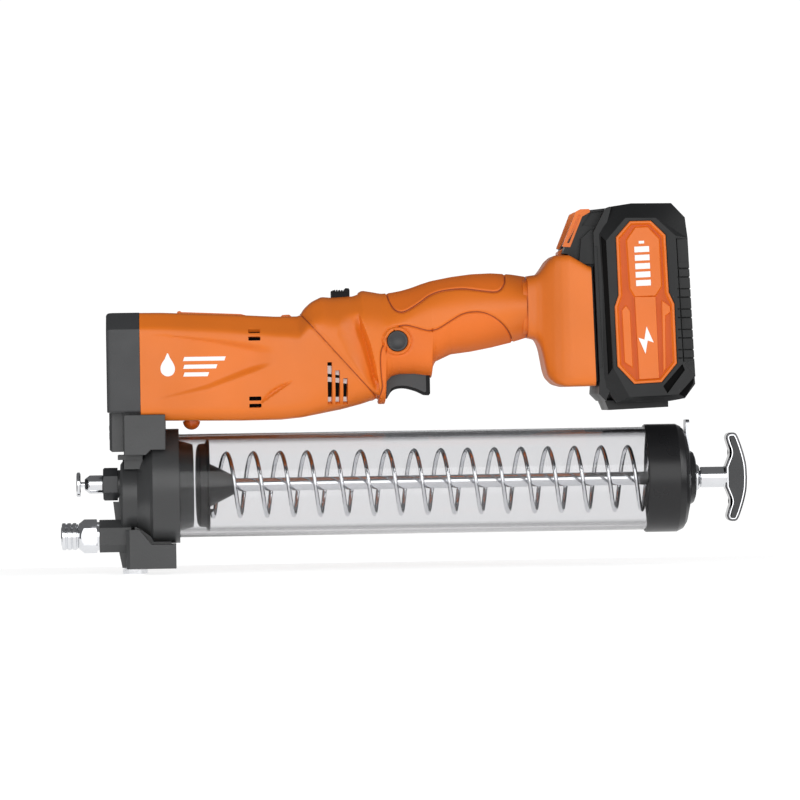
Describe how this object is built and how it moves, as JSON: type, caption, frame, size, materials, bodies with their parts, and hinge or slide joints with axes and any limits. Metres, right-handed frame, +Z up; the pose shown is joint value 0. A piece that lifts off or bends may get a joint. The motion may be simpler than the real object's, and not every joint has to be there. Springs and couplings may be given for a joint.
{
  "type": "cordless grease gun",
  "caption": "Battery grease gun: pistol-grip drive over a clear screw-in barrel with a sprung follower and T-handle.",
  "frame": {"origin": "centre of the mouth of the grease outlet", "axes": "+X back along the barrel to the T-handle, +Z up from the barrel to the motor, -Y the left-hand side"},
  "size_m": [0.4124, 0.0768, 0.2166],
  "materials": {
    "housing_orange": "satin moulded",
    "grip_orange": "soft-touch",
    "badge_orange": "satin",
    "lens_orange": "glossy, translucent",
    "cover_black": "fine texture",
    "head_black": "black coated casting",
    "cap_black": "satin",
    "control_black": "satin",
    "battery_black": "fine texture",
    "rubber_black": "matte",
    "follower_black": "satin",
    "chrome": "polished",
    "barrel_clear": "clear moulded plastic",
    "steel": "machined",
    "fan_plastic": "moulded",
    "cell_wrap": "shrink-wrapped",
    "board_green": "circuit board"
  },
  "bodies": {
    "tool": {"battery_foot": "housing_orange", "bearing_plate": "steel", "bleeder_nut": "control_black", "bleeder_sleeve": "chrome", "case_screws": "steel", "check_spring": "steel", "cover_screws": "steel", "crank_bearing": "steel", "finger_grip": "grip_orange", "foot_terminals": "follower_black", "gearbox_cover": "cover_black", "guide_cover": "head_black", "guide_screws": "steel", "head_bracket": "head_black", "head_socket": "head_black", "housing_left": "housing_orange", "housing_right": "housing_orange", "light_lens": "lens_orange", "motor_can": "steel", "motor_magnets": "steel", "outlet_fitting": "chrome", "palm_grip": "grip_orange", "plunger_seal": "rubber_black", "pump_head": "head_black", "relief_plug": "chrome", "ring_gear": "steel", "switch_module": "control_black", "trigger_spring": "steel"},
    "coupler_sleeve": {"coupler_sleeve": "chrome"},
    "bleeder_pin": {"bleeder_pin": "chrome"},
    "check_ball": {"check_ball": "steel"},
    "plunger_yoke": {"yoke": "steel", "plunger": "steel"},
    "armature": {"rotor": "steel", "motor_fan": "fan_plastic", "sun_pinion": "steel"},
    "crank": {"crank": "steel"},
    "planet_1": {"planet_gear_1": "steel"},
    "planet_2": {"planet_gear_2": "steel"},
    "planet_3": {"planet_gear_3": "steel"},
    "trigger": {"trigger": "control_black"},
    "lock_button": {"lock_button": "control_black"},
    "selector": {"selector_slide": "control_black"},
    "gasket": {"barrel_gasket": "rubber_black"},
    "barrel": {"barrel_tube": "barrel_clear", "end_cap": "cap_black", "rod_bush": "chrome", "main_spring": "chrome"},
    "follower": {"follower_rod": "chrome", "follower_seal": "rubber_black", "follower_cone": "follower_black", "t_handle": "chrome"},
    "rod_latch": {"rod_latch": "chrome"},
    "battery": {"battery_case": "battery_black", "battery_badges": "badge_orange", "rail_cover": "battery_black", "battery_cells": "cell_wrap", "battery_board": "board_green"},
    "battery_latch": {"battery_latch": "badge_orange"}
  },
  "joints": [
    {"name": "trigger_pull", "type": "slide", "parent": "tool", "child": "trigger", "axis": [0, 0, 1], "range_m": [0, 0.006], "stiffness_N_per_m": 1000, "springref_m": -0.004, "deforming": ["trigger_spring"]},
    {"name": "lock_button_press", "type": "slide", "parent": "tool", "child": "lock_button", "axis": [0, 1, 0], "range_m": [0, 0.003], "stiffness_N_per_m": 1500, "springref_m": -0.001},
    {"name": "selector_shift", "type": "slide", "parent": "tool", "child": "selector", "axis": [1, 0, 0], "range_m": [0, 0.0045]},
    {"name": "rotor_spin", "type": "hinge", "parent": "tool", "child": "armature", "pos_m": [0.11, 0, 0.1008], "axis": [1, 0, 0], "continuous": true},
    {"name": "crank_turn", "type": "hinge", "parent": "tool", "child": "crank", "pos_m": [0.058, 0, 0.1008], "axis": [1, 0, 0], "continuous": true},
    {"name": "planet_1_spin", "type": "hinge", "parent": "crank", "child": "planet_1", "pos_m": [0.071, 0, 0.1152], "axis": [1, 0, 0], "continuous": true},
    {"name": "planet_2_spin", "type": "hinge", "parent": "crank", "child": "planet_2", "pos_m": [0.071, -0.01247, 0.0936], "axis": [1, 0, 0], "continuous": true},
    {"name": "planet_3_spin", "type": "hinge", "parent": "crank", "child": "planet_3", "pos_m": [0.071, 0.01247, 0.0936], "axis": [1, 0, 0], "continuous": true},
    {"name": "plunger_stroke", "type": "slide", "parent": "tool", "child": "plunger_yoke", "axis": [0, 0, 1], "range_m": [-0.01, 0]},
    {"name": "bleeder_push", "type": "slide", "parent": "tool", "child": "bleeder_pin", "axis": [1, 0, 0], "range_m": [0, 0.002], "stiffness_N_per_m": 1500, "springref_m": -0.001},
    {"name": "check_ball_lift", "type": "slide", "parent": "tool", "child": "check_ball", "axis": [-1, 0, 0], "range_m": [0, 0.0012], "stiffness_N_per_m": 300, "springref_m": -0.001, "deforming": ["check_spring"]},
    {"name": "barrel_travel", "type": "slide", "parent": "tool", "child": "gasket", "axis": [1, 0, 0], "range_m": [0, 0.015]},
    {"name": "barrel_turn", "type": "hinge", "parent": "gasket", "child": "barrel", "pos_m": [0.2, 0, 0.0294], "axis": [1, 0, 0], "range_deg": [0, 1800]},
    {"name": "follower_slide", "type": "slide", "parent": "barrel", "child": "follower", "axis": [1, 0, 0], "range_m": [0, 0.21], "stiffness_N_per_m": 250, "springref_m": -0.08, "deforming": ["main_spring"]},
    {"name": "rod_latch_tilt", "type": "hinge", "parent": "barrel", "child": "rod_latch", "pos_m": [0.3767, 0, 0.0197], "axis": [0, 1, 0], "range_deg": [-3.5, 0], "stiffness_Nm_per_rad": 1, "springref_deg": 5.73},
    {"name": "battery_slide", "type": "slide", "parent": "tool", "child": "battery", "axis": [-0.0349, 0, 0.9994], "range_m": [0, 0.08]},
    {"name": "battery_latch_press", "type": "slide", "parent": "battery", "child": "battery_latch", "axis": [0.9994, 0, 0.0349], "range_m": [0, 0.0018], "stiffness_N_per_m": 3000, "springref_m": -0.001},
    {"name": "coupler_sleeve_turn", "type": "hinge", "parent": "tool", "child": "coupler_sleeve", "pos_m": [0.005, 0, 0], "axis": [1, 0, 0], "continuous": true}
  ],
  "couplings": [
    {"joint": "crank_turn", "follows": "rotor_spin", "ratio": 0.16667},
    {"joint": "planet_1_spin", "follows": "rotor_spin", "ratio": -0.41667},
    {"joint": "planet_2_spin", "follows": "rotor_spin", "ratio": -0.41667},
    {"joint": "planet_3_spin", "follows": "rotor_spin", "ratio": -0.41667},
    {"joint": "barrel_travel", "follows": "barrel_turn", "m_per_rad": 0.00047746}
  ]
}
